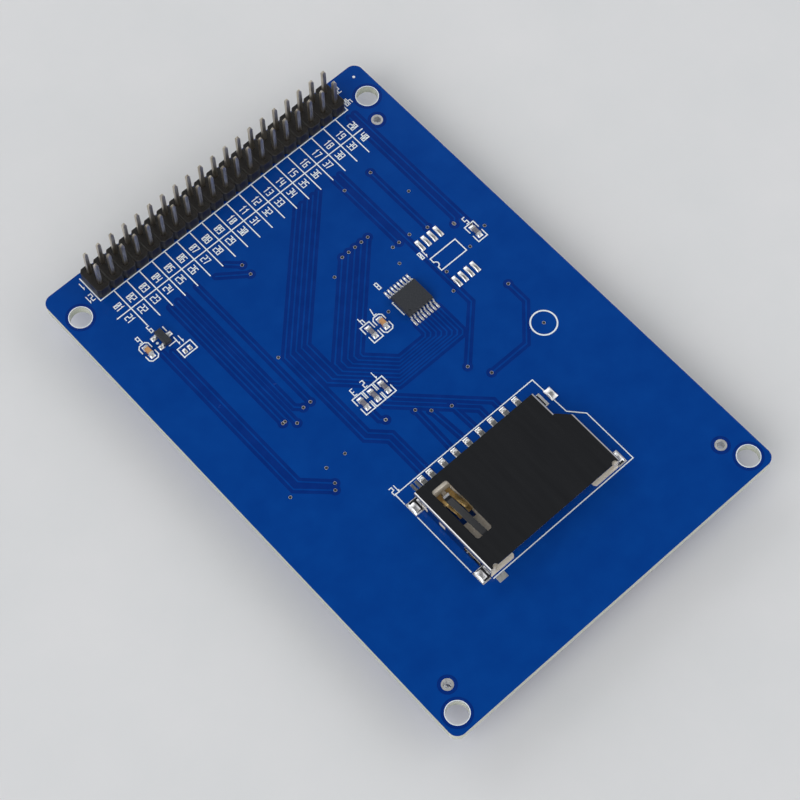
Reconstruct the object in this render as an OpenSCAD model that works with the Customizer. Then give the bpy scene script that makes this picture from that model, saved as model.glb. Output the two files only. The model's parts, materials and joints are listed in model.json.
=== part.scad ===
// Display module: a circuit board with a pin header, a card socket and a touch
// controller on its back, and a touch panel on a backlit display glued to its front.
// Millimetres. The display faces down and rests on z = 0; the header pins point up.
// +Y is the header's edge, and the origin is under the middle of the board.

/* [Board] */
// Width of the board
board_w = 64.9; // [62:0.1:72]
// Length of the board, from the far edge to the header's edge
board_l = 94.6; // [92:0.1:104]
// Thickness of the board
board_t = 1.6; // [1:0.1:2.4]
// Radius of the board's corners
corner_r = 1.6; // [0.5:0.1:2.5]
// Thickness of the tinned copper lands
land_t = 0.05; // [0.03:0.01:0.1]

/* [Mounting holes] */
// Diameter of the four mounting holes
hole_d = 3.5; // [2.5:0.1:3.8]
// Hole centres to the long edges
hole_side_inset = 2.85; // [2.5:0.05:4]
// Far pair of holes to the far edge
hole_far_inset = 2.95; // [2.5:0.05:4]
// Near pair of holes to the header's edge
hole_head_inset = 6.15; // [4:0.05:7]

/* [Plated eyelets] */
// Bore of the small plated eyelets
eyelet_bore = 1.2; // [0.8:0.1:1.4]
// Thickness of the plating
eyelet_wall = 0.1; // [0.05:0.01:0.2]
// Width of the ring round the bore, on both faces
eyelet_ring = 0.25; // [0.15:0.01:0.4]
// Eyelet centres to the long edges
eyelet_side_inset = 4.65; // [4:0.05:6]
// Far pair of eyelets to the far edge
eyelet_far_inset = 7; // [6:0.05:8]
// Near eyelet to the header's edge
eyelet_head_inset = 10.55; // [9.5:0.05:12]

/* [Pin header] */
// Distance between pins
pitch = 2.54; // [2:0.01:2.6]
// Pins in a row
columns = 20; // [4:1:21]
// Side of the square pins
pin_w = 0.64; // [0.5:0.01:0.7]
// Bare pin above the insulator
pin_rise = 5.8; // [4:0.1:9]
// Pin below the board
pin_tail = 1.3; // [0.8:0.1:1.6]
// Length of the taper at each pin end
pin_taper = 0.5; // [0.2:0.05:0.7]
// Height of the insulator
header_h = 2.5; // [2:0.1:3]
// Back row of pins to the header's edge
header_inset = 2.1; // [1.8:0.05:3]
// Corner cut between neighbouring positions of the insulator
header_notch = 0.5; // [0.2:0.05:0.7]
// Depth of the snap grooves across the insulator
groove_depth = 0.2; // [0.1:0.01:0.4]
// Diameter of the plated holes that the pins are soldered in
pin_hole_d = 1; // [0.95:0.01:1.1]

/* [Card socket] */
// Middle of the socket from the middle of the board
socket_x = 1; // [-4:0.1:4]
// Mouth of the socket to the far edge
socket_inset = 14.85; // [12:0.05:18]
// Width of the shell
shell_w = 26.35; // [26.1:0.05:28]
// Shell, from the mouth to its back edge
shell_l = 16.5; // [16:0.1:20]
// Height of the shell above the board
shell_h = 2.75; // [2.6:0.05:3.5]
// Thickness of the shell's sheet
shell_t = 0.2; // [0.15:0.01:0.25]
// Outside radius of the shell's folds
fold_r = 0.45; // [0.35:0.01:0.6]
// Width of the step for the card's cut corner
notch_w = 2.1; // [1.5:0.05:2.4]
// Length of the step, from the back edge
notch_l = 4.65; // [4:0.05:5.5]
// Width of the opening round the shell's tongue
slot_w = 2.95; // [2.6:0.05:3.4]
// Length of that opening
slot_l = 10.1; // [8.5:0.1:11]
// The opening to the shell's left side
slot_side = 2; // [1.6:0.05:2.6]
// The opening to the shell's back edge
slot_back = 1.6; // [1.2:0.05:2.5]
// Width of the tongue
tongue_w = 1.1; // [0.8:0.05:1.4]
// Drop of the tongue's tip below the shell
tongue_drop = 1; // [0.4:0.05:1.1]
// Width of the shell's solder feet
foot_w = 2; // [1.2:0.1:2.4]
// Reach of the solder feet, out from the shell
foot_reach = 1; // [0.6:0.05:1.4]
// Width of the card that the socket takes
card_w = 24.1; // [23.8:0.05:24.2]
// Floor of the moulded base
floor_t = 0.35; // [0.3:0.01:0.5]
// Rear wall of the moulded base
rear_wall = 1.9; // [1.2:0.05:2.5]
// Front lands of the base, beyond the mouth
lip_reach = 0.15; // [0.05:0.01:0.4]
// Width of the finger recess between the front lands
recess_w = 16.3; // [12:0.1:18]
// Depth of the finger recess
recess_l = 1.6; // [1:0.1:2]
// Distance between the card contacts
contact_pitch = 2.5; // [2.4:0.01:2.55]
// Width of a card contact
contact_w = 0.8; // [0.5:0.05:0.9]
// Width of a detect contact
detect_w = 0.45; // [0.3:0.01:0.5]
// Thickness of the contact strip
contact_t = 0.15; // [0.1:0.01:0.2]
// Reach of the solder tails behind the shell
tail_reach = 2.05; // [1.4:0.05:2.3]
// Diameter of the base's locating pegs
peg_d = 1; // [0.8:0.05:1.3]

/* [Touch controller] */
// Middle of the chip from the middle of the board
chip_x = 10.1; // [8:0.1:12]
// Middle of the chip to the header's edge
chip_inset = 38.3; // [36:0.1:40]
// Length of the package, along the leads' rows
chip_l = 5; // [4.9:0.1:5.6]
// Width of the package
chip_w = 4.4; // [4:0.1:4.8]
// Height of the package above the board
chip_h = 1.1; // [0.9:0.05:1.4]
// Leads along one side
chip_leads = 8; // [4:1:8]
// Distance between leads
chip_pitch = 0.65; // [0.5:0.01:0.65]
// Span over both rows of leads
chip_span = 6.4; // [6:0.05:7]
// Width of a lead
chip_lead_w = 0.25; // [0.15:0.01:0.3]

/* [Regulator] */
// Middle of the regulator from the middle of the board
regulator_x = -22.5; // [-24:0.1:-21]
// Middle of the regulator to the header's edge
regulator_inset = 17.55; // [16:0.05:19]
// Length of its package
regulator_l = 2.9; // [2.6:0.1:3.1]
// Width of its package
regulator_w = 1.3; // [1.2:0.05:1.7]
// Height of its package above the board
regulator_h = 1.05; // [0.9:0.05:1.3]
// Span over its leads
regulator_span = 2.5; // [2.3:0.05:2.9]
// Width of a lead
regulator_lead_w = 0.42; // [0.3:0.01:0.5]
// Distance between the two leads on one side
regulator_pitch = 1.9; // [1.7:0.01:2]

/* [Chip resistors and capacitors] */
// Length of a chip part
chip_part_l = 1.6; // [1.4:0.05:1.7]
// Width of a chip part
chip_part_w = 0.8; // [0.6:0.05:0.9]
// Height of a resistor
resistor_h = 0.45; // [0.35:0.01:0.6]
// Height of a capacitor
capacitor_h = 0.8; // [0.6:0.05:0.9]
// Length of the metal ends
end_l = 0.3; // [0.2:0.01:0.4]
// Thickness of the metal ends
end_t = 0.04; // [0.02:0.005:0.08]
// Distance between the three resistors in a row
resistor_pitch = 2.1; // [1.9:0.05:2.4]

/* [Bare lands] */
// Distance between the lands of the chip that isn't fitted
spare_pitch = 1.27; // [1.1:0.01:1.27]
// Length of its lands
spare_land_l = 2.1; // [1.6:0.1:2.4]
// Width of its lands
spare_land_w = 0.75; // [0.5:0.05:0.85]
// Distance between its two rows of lands
spare_span = 8.5; // [7:0.1:9.5]

/* [Touch panel] */
// Width of the touch panel
touch_w = 54.4; // [53.4:0.1:54.8]
// Length of the touch panel
touch_l = 76.8; // [76:0.1:77.4]
// Thickness of the top film
film_t = 0.2; // [0.15:0.01:0.3]
// Thickness of the gasket between film and glass
gasket_t = 0.1; // [0.08:0.01:0.15]
// Width of the gasket
gasket_w = 2; // [1.2:0.1:2.6]
// Thickness of the touch glass
touch_glass_t = 1; // [0.7:0.05:1.4]
// Thickness of the tape ring behind the touch glass
bond_t = 0.15; // [0.1:0.01:0.3]
// Width of the flat tail
tail_w = 6; // [4:0.5:8]
// Middle of the tail from the middle of the board
tail_x = -23; // [-23.5:0.5:-22.5]

/* [Display] */
// Width of the display's frame
frame_w = 55; // [54.6:0.1:56]
// Length of the display's frame
frame_l = 77.7; // [77.4:0.1:78.4]
// Wall of the frame
frame_wall = 1; // [0.7:0.05:1.2]
// Ledge in the frame that carries the display glass
ledge_w = 1.2; // [0.8:0.05:1.5]
// Thickness of each sheet of display glass
glass_t = 0.5; // [0.4:0.05:0.7]
// Thickness of each polariser
polariser_t = 0.2; // [0.12:0.01:0.25]
// Bare ledge of the rear glass, which carries the driver chip
driver_ledge = 4; // [3.2:0.1:5]
// Length of the driver chip
driver_l = 20; // [14:0.5:24]
// Width of the driver chip
driver_w = 1.2; // [0.9:0.05:1.5]
// Thickness of the diffuser and prism films together
optic_t = 0.3; // [0.2:0.01:0.4]
// Thickness of the light guide
guide_t = 0.7; // [0.6:0.05:0.9]
// Thickness of the reflector sheet
reflector_t = 0.1; // [0.08:0.01:0.15]
// Number of lamps beside the light guide
lamps = 6; // [4:1:8]
// Thickness of the tape between display and board
tape_t = 0.65; // [0.5:0.05:1]
// Width of the display's flex
flex_w = 36; // [30:0.5:37.5]
// Thickness of the display's flex
flex_t = 0.12; // [0.08:0.01:0.15]
// Flex soldered to the board, back from the display's edge
flex_run = 9; // [6:0.5:12]

/* [Hidden] */
// Fit of one still piece in another, on each side
fit = 0.05;
// Fit of a pin in the insulator, on each side
pin_fit = 0.01;
// Running room for sheets in the frame, on each side
room = 0.15;
// Thickness of the chips' leads
lead_t = 0.15;
// Cuts run this far past the faces that they open
over = 1;
// Cuts that meet another cut run this far into it
skin = 0.01;
// Corner radius of the thin sheets, of their pockets, of the frame and of the tape
sheet_r = 0.2;
pocket_r = 0.3;
frame_r = 0.5;
tape_r = 1;

// Lands: past the metal at each side, under it, past its end, and their shift outwards
land_edge = 0.1;
land_in = 0.1;
land_out = 0.5;
land_shift = 0.1;
chip_land_l = 1.5;
regulator_land = [0.9, 0.8];
jumper_land = [0.65, 0.9];
mouth_land = [1.7, 1];

// Pins: width of the tip, and the solder joint under the board at its tip and at its ring
pin_tip_w = pin_w * 0.44;
joint_tip_r = pin_w * 0.72;
joint_ring_r = pin_hole_d * 0.85;

// Chips: length of the leads' feet, reach of the knee, stand, draft and the dimple at lead 1
chip_foot = 0.6;
regulator_foot = 0.35;
knee_reach = 0.6;
chip_stand = 0.15;
regulator_stand = 0.1;
package_draft = 0.1;
dimple_d = 0.5;
dimple_inset = 0.65;
dimple_depth = 0.06;

// Stack, from the face of the touch film upwards
touch_glass_z = film_t + gasket_t;
bond_z = touch_glass_z + touch_glass_t;
cell_z = bond_z + bond_t;
filter_z = cell_z + polariser_t;
array_z = filter_z + glass_t;
rear_polariser_z = array_z + glass_t;
optic_z = rear_polariser_z + polariser_t;
guide_z = optic_z + optic_t;
reflector_z = guide_z + guide_t;
tape_z = reflector_z + reflector_t;
board_z = tape_z + tape_t;
top_z = board_z + board_t;

// Places on the board
chip_y = board_l / 2 - chip_inset;
regulator_y = board_l / 2 - regulator_inset;
hole_x = board_w / 2 - hole_side_inset;
hole_far_y = -board_l / 2 + hole_far_inset;
hole_head_y = board_l / 2 - hole_head_inset;
eyelet_x = board_w / 2 - eyelet_side_inset;
eyelet_far_y = -board_l / 2 + eyelet_far_inset;
eyelet_head_y = board_l / 2 - eyelet_head_inset;
eyelet_at = [[-eyelet_x, eyelet_far_y], [eyelet_x, eyelet_far_y], [eyelet_x, eyelet_head_y]];
back_row_y = board_l / 2 - header_inset;
front_row_y = back_row_y - pitch;
header_y = (back_row_y + front_row_y) / 2;
pin_x = [for (i = [0:columns - 1]) (i - (columns - 1) / 2) * pitch];

// Card socket, measured from the middle of its mouth
mouth_y = -board_l / 2 + socket_inset;
step_y = shell_l - notch_l;
slope_l = notch_w;
base_w = shell_w - 2 * (shell_t + fit);
base_h = shell_h - fold_r;
base_back = shell_l - 0.1;
rear_y = base_back - rear_wall;
rail = (base_w - card_w) / 2;
slot_r = 0.4;
foot_inset = 0.95;
foot_y = [foot_inset, shell_l - foot_inset];

// Windows in the left wall for the base's lugs, and the two cuts in the mouth's edge
window_l = 1.35;
window_h = [0.75, 1.75];
front_window_inset = 6.2;
rear_window_inset = 2.35;
window_y = [shell_l - front_window_inset, shell_l - rear_window_inset];
// The feet are folded from the strip of wall below the windows
foot_top = window_h[0];
cut_r = 0.45;
cut_inset = 1.1;

// Tongue: tip to the end of its opening, hold on the roof, first bend, flat and curl
tongue_end = 1.5;
tongue_hold = 0.4;
tongue_bend = 0.15;
tongue_flat = 0.6;
tongue_curl = [0.3, 0.4];

// Spring leaf in the left wall: its window, its own width, its root, its crest and its end
leaf_y = [1.5, 5.5];
leaf_h = [0.6, 2];
leaf_w = 0.8;
leaf_root = 0.3;
leaf_crest = [leaf_y[0] + 1.9, leaf_y[0] + 2.7];
leaf_push = rail - 0.1;
leaf_end = [0.2, leaf_y[1] - 0.3];
leaf_room = 0.25;

// Finger recess: how far its ends flare at the mouth, and over what depth
flare = [0.35, 0.4];

// Contacts: places, wells in the floor, bend at the wall, crest and tip
contacts = 9;
detects = 2;
first_contact_inset = 2.9;
first_contact_x = card_w / 2 - first_contact_inset;
last_contact_gap = 1.7;
detect_gap = 0.95;
detect_pitch = 0.8;
contact_x = [for (i = [0:contacts - 1])
    first_contact_x - min(i, contacts - 2) * contact_pitch - (i == contacts - 1 ? last_contact_gap : 0)];
detect_x = [for (i = [0:detects - 1]) contact_x[contacts - 1] - detect_gap - i * detect_pitch];
well_l = 6;
detect_well_l = 3;
well_side = 0.1;
well_end = 0.2;
contact_bend = 0.4;
crest_share = 0.75;
crest_h = 1.45;
tip_share = 0.9;
tip_h = 1.2;
peg_y = 3.4;
left_peg_inset = 4.175;
right_peg_inset = 2.675;
peg_at = [[left_peg_inset - shell_w / 2, peg_y], [shell_w / 2 - right_peg_inset, peg_y]];
peg_depth = 1.2;

// Chip parts: place from the middle of the board and from the header's edge
resistor_row_x = -2.95;
resistor_row_inset = 46.5;
resistor_4_x = 1.8;
resistor_5_side_inset = 6.85;
resistor_5_inset = 36.15;
capacitor_1_gap = 3.1;
capacitor_1_drop = 0.25;
capacitor_2_x = 4.1;
spare_x = 19.35;
spare_inset = 36.4;
jumper_x = -20.95;
jumper_inset = 21.45;
mouth_land_x = -10.75;
mouth_land_gap = 1.15;
resistor_at = [
    for (i = [0:2]) [resistor_row_x - i * resistor_pitch, board_l / 2 - resistor_row_inset],
    [resistor_4_x, chip_y],
    [board_w / 2 - resistor_5_side_inset, board_l / 2 - resistor_5_inset]
];
capacitor_at = [
    [regulator_x - capacitor_1_gap, regulator_y - capacitor_1_drop],
    [capacitor_2_x, chip_y]
];
spare_at = [spare_x, board_l / 2 - spare_inset];
jumper_at = [jumper_x, board_l / 2 - jumper_inset];
jumper_pitch = 0.95;
mouth_land_at = [mouth_land_x, mouth_y - mouth_land_gap];

// Display, centred between the two rows of mounting holes; both flexes leave its far end
display_y = (hole_head_y + hole_far_y) / 2;
end_y = display_y - frame_l / 2;
cell_w = frame_w - 2 * (frame_wall + room);
cell_l = frame_l - 2 * (frame_wall + room);
cell_end_y = display_y - cell_l / 2;
guide_w = cell_w - 2 * ledge_w;
guide_l = cell_l - 2 * ledge_w;
lamp_l = 3;
lamp_w = 1;
lamp_strip_w = 2.4;
lamp_strip_t = 0.1;
polariser_inset = 1;
driver_h = 0.4;
driver_gap = 0.8;
tape_inset = 2;
bond_w = 2.4;

// Flexes: room at their sides, bond to the glass, turn outside the ends, run and lands
flex_clear = 0.6;
tail_clear = 0.2;
flex_bond = 1.2;
turn_gap = 0.1;
tail_run = 1.8;
flex_land_l = 2.5;
tail_land_l = 0.6;
touch_end_y = display_y - touch_l / 2;
tail_turn_y = min(end_y, touch_end_y) - turn_gap;

// ---------- shared shapes ----------

// Rectangle with round corners, centred
module round_rect(w, l, r) {
    square([w - 2 * r, l], center = true);
    square([w, l - 2 * r], center = true);
    for (x = [-1, 1], y = [-1, 1])
        translate([x * (w / 2 - r), y * (l / 2 - r)]) circle(r = r, $fn = 48);
}

// Flat sheet of a given outline, from height z
module sheet(w, l, t, z, r = sheet_r) {
    translate([0, display_y, z]) linear_extrude(t) round_rect(w, l, r);
}

// Strip of thickness t along the points p, with round bends
module strip(p, t) {
    for (i = [0:len(p) - 2]) {
        d = p[i + 1] - p[i];
        translate(p[i]) rotate(atan2(d.y, d.x)) translate([0, -t / 2]) square([norm(d), t]);
    }
    for (i = [1:len(p) - 2]) translate(p[i]) circle(d = t, $fn = 24);
}

// Extrudes a profile drawn in depth and height, centred over a width along X
module along_x(w) {
    translate([-w / 2, 0, 0]) rotate([90, 0, 90]) linear_extrude(w) children();
}

// Extrudes a profile drawn in width and height, from y0 to y1
module along_y(y0, y1) {
    translate([0, y1, 0]) rotate([90, 0, 0]) linear_extrude(y1 - y0) children();
}

module on_board() {
    translate([0, 0, top_z]) children();
}

module at_socket() {
    translate([socket_x, mouth_y, top_z]) children();
}

// ---------- board ----------

module circuit_board() {
    color("royalblue")
    translate([0, 0, board_z]) linear_extrude(board_t) difference() {
        round_rect(board_w, board_l, corner_r);
        for (x = [-hole_x, hole_x], y = [hole_far_y, hole_head_y])
            translate([x, y]) circle(d = hole_d, $fn = 64);
        for (p = eyelet_at) translate(p) circle(d = eyelet_bore + 2 * eyelet_wall, $fn = 48);
        for (x = pin_x, y = [back_row_y, front_row_y])
            translate([x, y]) circle(d = pin_hole_d, $fn = 32);
        for (p = peg_at)
            translate([socket_x + p.x, mouth_y + p.y]) circle(d = peg_d + 2 * fit, $fn = 32);
    }
}

// Tinned tubes with a ring on each face of the board
module plated_eyelets() {
    ring_r = eyelet_bore / 2 + eyelet_wall + eyelet_ring;
    color("lightgray")
    for (p = eyelet_at) translate([p.x, p.y, 0]) difference() {
        union() {
            translate([0, 0, board_z])
                cylinder(r = eyelet_bore / 2 + eyelet_wall, h = board_t, $fn = 48);
            for (z = [board_z - land_t, top_z]) translate([0, 0, z])
                cylinder(r = ring_r, h = land_t, $fn = 48);
        }
        translate([0, 0, board_z - over]) cylinder(d = eyelet_bore, h = board_t + 2 * over, $fn = 48);
    }
}

// A bare land, or one under a foot
module land(w, l) {
    linear_extrude(land_t) square([w, l], center = true);
}

module solder_lands() {
    color("gainsboro") on_board() {
        for (row = [-1, 1], i = [-1.5:1:1.5])
            translate([spare_at.x + i * spare_pitch, spare_at.y + row * spare_span / 2, 0])
                land(spare_land_w, spare_land_l);
        for (side = [-1, 1]) translate([jumper_at.x + side * jumper_pitch / 2, jumper_at.y, 0])
            land(jumper_land.x, jumper_land.y);
        translate(mouth_land_at) land(mouth_land.x, mouth_land.y);
        for (side = [-1, 1], x = chip_lead_x())
            translate([chip_x + x, chip_y + side * (chip_span / 2 - land_shift), 0])
                land(chip_lead_w + land_edge, chip_land_l);
        for (p = regulator_feet()) translate(p) land(regulator_land.x, regulator_land.y);
        for (p = concat(resistor_at, capacitor_at), side = [-1, 1])
            translate([p.x, p.y + side * ((chip_part_l - end_l) / 2 + land_shift), 0])
                land(chip_part_w + land_edge, end_l + land_out);
    }
    color("gainsboro") at_socket() socket_lands();
    color("gainsboro") flex_lands();
}

// Lands on the front of the board, under the soldered ends of the two flexes
module flex_lands() {
    translate([0, end_y + flex_run - flex_land_l / 2, board_z - land_t]) land(flex_w, flex_land_l);
    translate([tail_x, end_y + tail_run - tail_land_l / 2, board_z - land_t]) land(tail_w, tail_land_l);
}

// ---------- pin header ----------

// Plan of the insulator: one cut-corner block for each pair of pins, set close in a row
module header_plan() {
    d = header_notch;
    h = pitch;
    for (x = pin_x) translate([x, header_y])
        polygon([[-pitch / 2, -h + d], [-pitch / 2 + d, -h], [pitch / 2 - d, -h], [pitch / 2, -h + d],
                 [pitch / 2, h - d], [pitch / 2 - d, h], [-pitch / 2 + d, h], [-pitch / 2, h - d]]);
}

module header_insulator() {
    g = groove_depth;
    color("dimgray")
    on_board() difference() {
        linear_extrude(header_h) header_plan();
        for (i = [1:columns - 1]) translate([(i - columns / 2) * pitch, 0, 0])
            along_y(header_y - pitch - over, header_y + pitch + over)
                polygon([[-g, header_h + skin], [g, header_h + skin], [0, header_h - g]]);
        for (x = pin_x, y = [back_row_y, front_row_y]) translate([x, y, header_h / 2])
            cube([pin_w + 2 * pin_fit, pin_w + 2 * pin_fit, header_h + 2 * over], center = true);
    }
}

// Side view of a square pin with both ends tapered
module pin_profile() {
    z0 = board_z - pin_tail;
    z1 = top_z + header_h + pin_rise;
    w = pin_w / 2;
    t = pin_tip_w / 2;
    polygon([[-t, z0], [t, z0], [w, z0 + pin_taper], [w, z1 - pin_taper],
             [t, z1], [-t, z1], [-w, z1 - pin_taper], [-w, z0 + pin_taper]]);
}

module pin() {
    intersection() {
        along_x(pin_w) pin_profile();
        along_y(-pin_w / 2, pin_w / 2) pin_profile();
    }
}

module header_pins(y) {
    color("silver") for (x = pin_x) translate([x, y, 0]) pin();
}

// One joint for each pin: it fills the plated hole and rises round the tail under the board
module header_solder() {
    cone_h = pin_tail - pin_taper;
    color("lightgray")
    for (x = pin_x, y = [back_row_y, front_row_y]) translate([x, y, 0]) difference() {
        union() {
            translate([0, 0, board_z]) cylinder(d = pin_hole_d - 2 * pin_fit, h = board_t, $fn = 32);
            translate([0, 0, board_z - cone_h])
                cylinder(r1 = joint_tip_r, r2 = joint_ring_r, h = cone_h, $fn = 32);
        }
        translate([0, 0, board_z]) cube([pin_w, pin_w, 4 * board_t], center = true);
    }
}

// ---------- card socket ----------

// Outline of the socket for a given inset from the shell's outside, front edge at y = front
module socket_plan(inset, front, back) {
    w = shell_w / 2 - inset;
    k = inset * (sqrt(2) - 1);
    polygon([[-w, front], [w, front], [w, step_y - slope_l - k], [w - notch_w, step_y - k],
             [w - notch_w, back], [-w, back]]);
}

// Tunnel profile: two walls, a roof and round folds between them
module tunnel_2d(w, h, r) {
    square_w = w - 2 * r;
    translate([-w / 2, 0]) square([w, h - r]);
    translate([-square_w / 2, 0]) square([square_w, h]);
    for (x = [-1, 1]) translate([x * square_w / 2, h - r]) circle(r = r, $fn = 48);
}

module sheet_tunnel(w, y0, y1) {
    along_y(y0, y1) difference() {
        tunnel_2d(w, shell_h, fold_r);
        translate([0, -over]) tunnel_2d(w - 2 * shell_t, shell_h + over - shell_t, fold_r - shell_t);
    }
}

// Roof and walls, narrower behind the step for the card's cut corner
module shell_body() {
    sheet_tunnel(shell_w, 0, step_y - slope_l);
    intersection() {
        sheet_tunnel(shell_w, step_y - slope_l, step_y);
        linear_extrude(shell_h) socket_plan(0, 0, shell_l);
    }
    translate([-notch_w / 2, 0, 0]) sheet_tunnel(shell_w - notch_w, step_y, shell_l);
}

// Tongue sheared from the roof, bent down, with its tip curled up again
module tongue() {
    root = shell_l - slot_back - slot_l;
    roof = shell_h - shell_t / 2;
    low = roof - tongue_drop;
    curl = slot_l - tongue_end - tongue_curl.x;
    translate([-shell_w / 2 + slot_side + slot_w / 2, root, 0]) along_x(tongue_w)
        strip([[-tongue_hold, roof], [tongue_bend, roof], [curl - tongue_flat, low],
               [curl, low], [curl + tongue_curl.x, low + tongue_curl.y]], shell_t);
}

// Leaf in its window, pushed in towards the card
module leaf() {
    translate([shell_t / 2 - shell_w / 2, 0, (leaf_h[0] + leaf_h[1] - leaf_w) / 2]) linear_extrude(leaf_w)
        strip([[0, leaf_y[0] - leaf_root], [0, leaf_y[0] + leaf_root], [leaf_push, leaf_crest[0]],
               [leaf_push, leaf_crest[1]], leaf_end], shell_t);
}

// Foot folded out from the bottom of a side wall, drawn for the right-hand wall
module shell_foot() {
    z = land_t + shell_t / 2;
    along_y(-foot_w / 2, foot_w / 2)
        strip([[-shell_t / 2, foot_top], [-shell_t / 2, z], [foot_reach, z]], shell_t);
}

module card_socket_shell() {
    left = -shell_w / 2;
    color("silver") at_socket() {
        difference() {
            shell_body();
            // the walls end above the lands
            translate([-shell_w, -shell_l, -over]) cube([2 * shell_w, 3 * shell_l, over + land_t]);
            // opening round the tongue
            translate([left + slot_side + slot_w / 2, shell_l - slot_back - slot_l / 2, 0])
                linear_extrude(shell_h + over) round_rect(slot_w, slot_l, slot_r);
            // windows that snap over the base's lugs
            for (y = window_y) translate([left - over, y - window_l / 2, window_h[0]])
                cube([2 * over, window_l, window_h[1] - window_h[0]]);
            // window round the card's spring leaf
            translate([left - over, leaf_y[0], leaf_h[0]])
                cube([2 * over, leaf_y[1] - leaf_y[0], leaf_h[1] - leaf_h[0]]);
            // two small cuts in the mouth's edge
            for (side = [-1, 1]) translate([side * (shell_w / 2 - cut_inset), 0, shell_h / 2])
                cylinder(r = cut_r, h = shell_h, $fn = 32);
        }
        tongue();
        leaf();
        for (y = foot_y) mirror([1, 0, 0]) translate([-left, y, 0]) shell_foot();
        translate([-left, foot_y[0], 0]) shell_foot();
        translate([-left - notch_w, foot_y[1], 0]) shell_foot();
    }
}

// Base: a floor, a rear wall and two rails in one moulding
module card_socket_base() {
    inset = shell_t + fit;
    r = recess_w / 2;
    color("linen") at_socket() {
        difference() {
            linear_extrude(base_h) socket_plan(inset, -lip_reach, base_back);
            // the card's room, open at the mouth
            translate([0, 0, floor_t]) linear_extrude(base_h) socket_plan(inset + rail, -over, rear_y);
            translate([-shell_w, -lip_reach - over, floor_t]) cube([2 * shell_w, over + lip_reach, base_h]);
            // finger recess at the mouth
            translate([0, -lip_reach, -over]) linear_extrude(base_h + 2 * over)
                polygon([[-r - flare.x, -skin], [-r, flare.y], [-r, recess_l],
                         [r, recess_l], [r, flare.y], [r + flare.x, -skin]]);
            for (x = contact_x) contact_way(x, contact_w, well_l);
            for (x = detect_x) contact_way(x, detect_w, detect_well_l);
            // pocket behind the leaf
            translate([-shell_w / 2, leaf_y[0] - leaf_room, floor_t])
                cube([inset + rail + over, leaf_y[1] - leaf_y[0] + 2 * leaf_room, base_h]);
        }
        // lugs in the shell's windows
        for (y = window_y) translate([fit - shell_w / 2, y - window_l / 2 + fit, window_h[0] + fit])
            cube([shell_t + fit, window_l - 2 * fit, window_h[1] - window_h[0] - 2 * fit]);
        for (p = peg_at) translate([p.x, p.y, -peg_depth])
            cylinder(d = peg_d, h = peg_depth + floor_t / 2, $fn = 32);
    }
}

// Way for a contact: a slot through the rear wall, and a well in the floor in front of it
module contact_way(x, w, l) {
    slot_h = land_t + contact_t + fit;
    translate([x - w / 2 - fit, rear_y - over, -over])
        cube([w + 2 * fit, rear_wall + 2 * over, over + slot_h]);
    translate([x - w / 2 - well_side, rear_y - l, -over])
        cube([w + 2 * well_side, l, over + floor_t + skin]);
}

// Spring contact: a tail on its land, then up from the rear wall to a curled tip
module contact(x, w, l) {
    z = land_t + contact_t / 2;
    color("gold") at_socket() translate([x, 0, 0]) along_x(w)
        strip([[shell_l + tail_reach, z], [rear_y - contact_bend, z], [rear_y - crest_share * l, crest_h],
               [rear_y - tip_share * l, tip_h]], contact_t);
}

module card_contact(i) {
    contact(contact_x[i], contact_w, well_l - well_end);
}

module detect_contact(i) {
    contact(detect_x[i], detect_w, detect_well_l - well_end);
}

// Lands under the contacts' tails and under the shell's four feet
module socket_lands() {
    tail_l = tail_reach + land_edge;
    foot_l = foot_reach + land_in + land_out;
    for (x = contact_x) translate([x, shell_l + tail_l / 2, 0]) land(contact_w + 2 * land_edge, tail_l);
    for (x = detect_x) translate([x, shell_l + tail_l / 2, 0]) land(detect_w, tail_l);
    for (p = [[-shell_w / 2, foot_y[0], -1], [-shell_w / 2, foot_y[1], -1],
              [shell_w / 2, foot_y[0], 1], [shell_w / 2 - notch_w, foot_y[1], 1]])
        translate([p.x + p.z * (foot_l / 2 - land_in), p.y, 0]) land(foot_l, foot_w + 4 * land_edge);
}

// ---------- chips ----------

// Moulded package with drafted sides above and below a flat parting band
module package(l, w, h, stand, band_z, draft) {
    intersection() {
        along_y(-w, w) package_profile(l, h, stand, band_z, draft);
        along_x(2 * l) package_profile(w, h, stand, band_z, draft);
    }
}

module package_profile(w, h, stand, band_z, draft) {
    b = lead_t / 2;
    polygon([[-w / 2 + draft, stand], [w / 2 - draft, stand], [w / 2, band_z - b], [w / 2, band_z + b],
             [w / 2 - draft, h], [-w / 2 + draft, h], [-w / 2, band_z + b], [-w / 2, band_z - b]]);
}

// Gull-wing lead for the +Y side: out of the package at band_z, down, and flat on its land
module gull_wing(w, body_w, span, band_z, foot) {
    z = land_t + lead_t / 2;
    knee = (span / 2 - foot - body_w / 2) * knee_reach;
    along_x(w) strip([[body_w / 2, band_z], [body_w / 2 + knee, band_z], [span / 2 - foot, z],
                      [span / 2, z]], lead_t);
}

function chip_lead_x() = [for (i = [0:chip_leads - 1]) (i - (chip_leads - 1) / 2) * chip_pitch];

module at_chip() {
    translate([chip_x, chip_y, top_z]) children();
}

module touch_controller_package() {
    color("darkslategray") at_chip() difference() {
        package(chip_l, chip_w, chip_h, chip_stand, chip_h / 2, package_draft);
        translate([dimple_inset - chip_l / 2, dimple_inset - chip_w / 2, chip_h - dimple_depth])
            cylinder(d = dimple_d, h = over, $fn = 32);
    }
}

module touch_controller_leads() {
    color("gainsboro") at_chip() for (x = chip_lead_x(), side = [0, 1])
        mirror([0, side, 0]) translate([x, 0, 0])
            gull_wing(chip_lead_w, chip_w, chip_span, chip_h / 2, chip_foot);
}

module at_regulator() {
    translate([regulator_x, regulator_y, top_z]) rotate(90) children();
}

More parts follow.
